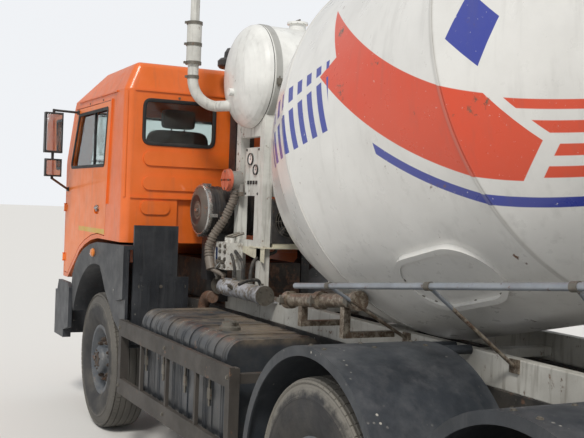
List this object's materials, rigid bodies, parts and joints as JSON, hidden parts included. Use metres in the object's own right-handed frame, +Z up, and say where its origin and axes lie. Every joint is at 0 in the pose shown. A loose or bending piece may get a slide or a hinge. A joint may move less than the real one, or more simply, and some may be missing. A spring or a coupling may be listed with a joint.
{
  "type": "concrete mixer truck",
  "caption": "Cab-over three-axle lorry with a tilted mixing drum, water tank, hopper and folding discharge chute.",
  "frame": {"origin": "on the ground under the middle of the bounding box, in the truck's middle plane", "axes": "+X forward along the frame rails, +Y to the truck's left, +Z up"},
  "size_m": [8.3261, 2.9, 3.5593],
  "materials": {
    "orange_paint": "worn gloss paint",
    "white_paint": "chalked gloss paint with dust",
    "black_paint": "dusty semi-gloss chassis paint",
    "black_plastic": "dusty moulded plastic",
    "grey_steel": "galvanised, dull",
    "cast_steel": "rusty and oily",
    "tyre": "dusty rubber",
    "glass": "clear",
    "lamp_lens": "clear, orange and red lenses",
    "cab_trim": "woven seat cloth and grained plastic"
  },
  "bodies": {
    "root": {"frame_rails": "black_paint", "subframe": "white_paint", "front_bumper": "black_plastic", "front_axle": "cast_steel", "rear_axles": "cast_steel", "leaf_springs": "cast_steel", "engine": "cast_steel", "prop_shafts": "cast_steel", "fuel_tank": "black_paint", "side_guards": "grey_steel", "side_boxes": "black_paint", "front_wings": "black_plastic", "rear_fenders": "black_plastic", "cab_mounts": "black_paint", "air_cleaner": "black_plastic", "exhaust": "cast_steel", "drum_stand": "white_paint", "drum_gearbox": "cast_steel", "hydraulic_unit": "grey_steel", "water_tank": "white_paint", "water_pipes": "white_paint", "roller_stand": "white_paint", "charging_hopper": "white_paint", "discharge_collector": "white_paint", "ladder": "grey_steel", "control_pipe": "grey_steel", "rear_bar": "white_paint", "chute_post": "white_paint", "lamps": "lamp_lens", "pump_and_hose": "grey_steel"},
    "cab": {"cab_shell": "orange_paint", "cab_roof": "orange_paint", "cab_glass": "glass", "cab_interior": "cab_trim"},
    "flap": {"service_flap": "orange_paint", "front_grille": "black_plastic"},
    "door_left": {"door_left": "orange_paint", "door_glass_left": "glass", "mirror_left": "black_plastic"},
    "door_right": {"door_right": "orange_paint", "door_glass_right": "glass", "mirror_right": "black_plastic"},
    "knuckle_left": {"knuckle_left": "cast_steel"},
    "knuckle_right": {"knuckle_right": "cast_steel"},
    "wheel_front_left": {"wheel_front_left": "tyre"},
    "wheel_front_right": {"wheel_front_right": "tyre"},
    "wheel_rear_1_left": {"wheel_rear_1_left": "tyre"},
    "wheel_rear_1_right": {"wheel_rear_1_right": "tyre"},
    "wheel_rear_2_left": {"wheel_rear_2_left": "tyre"},
    "wheel_rear_2_right": {"wheel_rear_2_right": "tyre"},
    "drum": {"drum_shell": "white_paint", "drum_blades": "cast_steel"},
    "roller_left": {"roller_left": "cast_steel"},
    "roller_right": {"roller_right": "cast_steel"},
    "swivel": {"chute_swivel": "white_paint"},
    "chute": {"chute": "white_paint"},
    "extension": {"chute_extension": "white_paint"},
    "jack_barrel": {"jack_barrel": "grey_steel"},
    "jack_rod": {"jack_rod": "grey_steel"}
  },
  "joints": [
    {"name": "steer_left", "type": "hinge", "parent": "root", "child": "knuckle_left", "pos_m": [2.78992, 0.805, 0.528], "axis": [0, 0, 1], "range_deg": [-35, 35]},
    {"name": "spin_front_left", "type": "hinge", "parent": "knuckle_left", "child": "wheel_front_left", "pos_m": [2.78992, 1.015, 0.528], "axis": [0, 1, 0], "continuous": true},
    {"name": "spin_rear_1_left", "type": "hinge", "parent": "root", "child": "wheel_rear_1_left", "pos_m": [-0.93008, 0.925, 0.528], "axis": [0, 1, 0], "continuous": true},
    {"name": "spin_rear_2_left", "type": "hinge", "parent": "root", "child": "wheel_rear_2_left", "pos_m": [-2.28008, 0.925, 0.528], "axis": [0, 1, 0], "continuous": true},
    {"name": "steer_right", "type": "hinge", "parent": "root", "child": "knuckle_right", "pos_m": [2.78992, -0.805, 0.528], "axis": [0, 0, 1], "range_deg": [-35, 35]},
    {"name": "spin_front_right", "type": "hinge", "parent": "knuckle_right", "child": "wheel_front_right", "pos_m": [2.78992, -1.015, 0.528], "axis": [0, 1, 0], "continuous": true},
    {"name": "spin_rear_1_right", "type": "hinge", "parent": "root", "child": "wheel_rear_1_right", "pos_m": [-0.93008, -0.925, 0.528], "axis": [0, 1, 0], "continuous": true},
    {"name": "spin_rear_2_right", "type": "hinge", "parent": "root", "child": "wheel_rear_2_right", "pos_m": [-2.28008, -0.925, 0.528], "axis": [0, 1, 0], "continuous": true},
    {"name": "cab_tilt", "type": "hinge", "parent": "root", "child": "cab", "pos_m": [3.94992, 0, 1.115], "axis": [0, 1, 0], "range_deg": [0, 50]},
    {"name": "flap_lift", "type": "hinge", "parent": "cab", "child": "flap", "pos_m": [4.10892, 0, 1.759], "axis": [0, -1, 0], "range_deg": [0, 75]},
    {"name": "door_swing_left", "type": "hinge", "parent": "cab", "child": "door_left", "pos_m": [3.92792, 1.169, 1.5], "axis": [0, 0, -1], "range_deg": [0, 70]},
    {"name": "door_swing_right", "type": "hinge", "parent": "cab", "child": "door_right", "pos_m": [3.92792, -1.169, 1.5], "axis": [0, 0, 1], "range_deg": [0, 70]},
    {"name": "drum_spin", "type": "hinge", "parent": "root", "child": "drum", "pos_m": [0.83992, 0, 1.90772], "axis": [-0.975, 0, 0.2224], "continuous": true},
    {"name": "roller_spin_left", "type": "hinge", "parent": "root", "child": "roller_left", "pos_m": [-2.71139, 0.52743, 1.85208], "axis": [-0.975, 0, 0.2224], "continuous": true},
    {"name": "roller_spin_right", "type": "hinge", "parent": "root", "child": "roller_right", "pos_m": [-2.71139, -0.52743, 1.85208], "axis": [-0.975, 0, 0.2224], "continuous": true},
    {"name": "chute_swing", "type": "hinge", "parent": "root", "child": "swivel", "pos_m": [-3.67088, 0, 1.2], "axis": [0, 0, -1], "range_deg": [-5, 155]},
    {"name": "chute_tilt", "type": "hinge", "parent": "swivel", "child": "chute", "pos_m": [-3.67088, 0, 1.7], "axis": [0.9659, -0.2588, 0], "range_deg": [-6, 18]},
    {"name": "chute_fold", "type": "hinge", "parent": "chute", "child": "extension", "pos_m": [-3.92824, -0.96047, 1.56833], "axis": [0.9659, -0.2588, 0], "range_deg": [0, 180]},
    {"name": "jack_swing", "type": "hinge", "parent": "swivel", "child": "jack_barrel", "pos_m": [-3.69935, -0.10625, 0.86], "axis": [0.9659, -0.2588, 0], "range_deg": [-2.9, 6.7]},
    {"name": "jack_screw", "type": "slide", "parent": "jack_barrel", "child": "jack_rod", "axis": [-0.1959, -0.7313, 0.6533], "range_m": [-0.232, 0.081]}
  ],
  "couplings": [
    {"joint": "steer_right", "follows": "steer_left", "ratio": 1},
    {"joint": "roller_spin_left", "follows": "drum_spin", "ratio": -6.6538},
    {"joint": "roller_spin_right", "follows": "drum_spin", "ratio": -6.6538},
    {"joint": "jack_swing", "follows": "chute_tilt", "ratio": 0.315},
    {"joint": "jack_screw", "follows": "chute_tilt", "m_per_rad": -0.724}
  ]
}
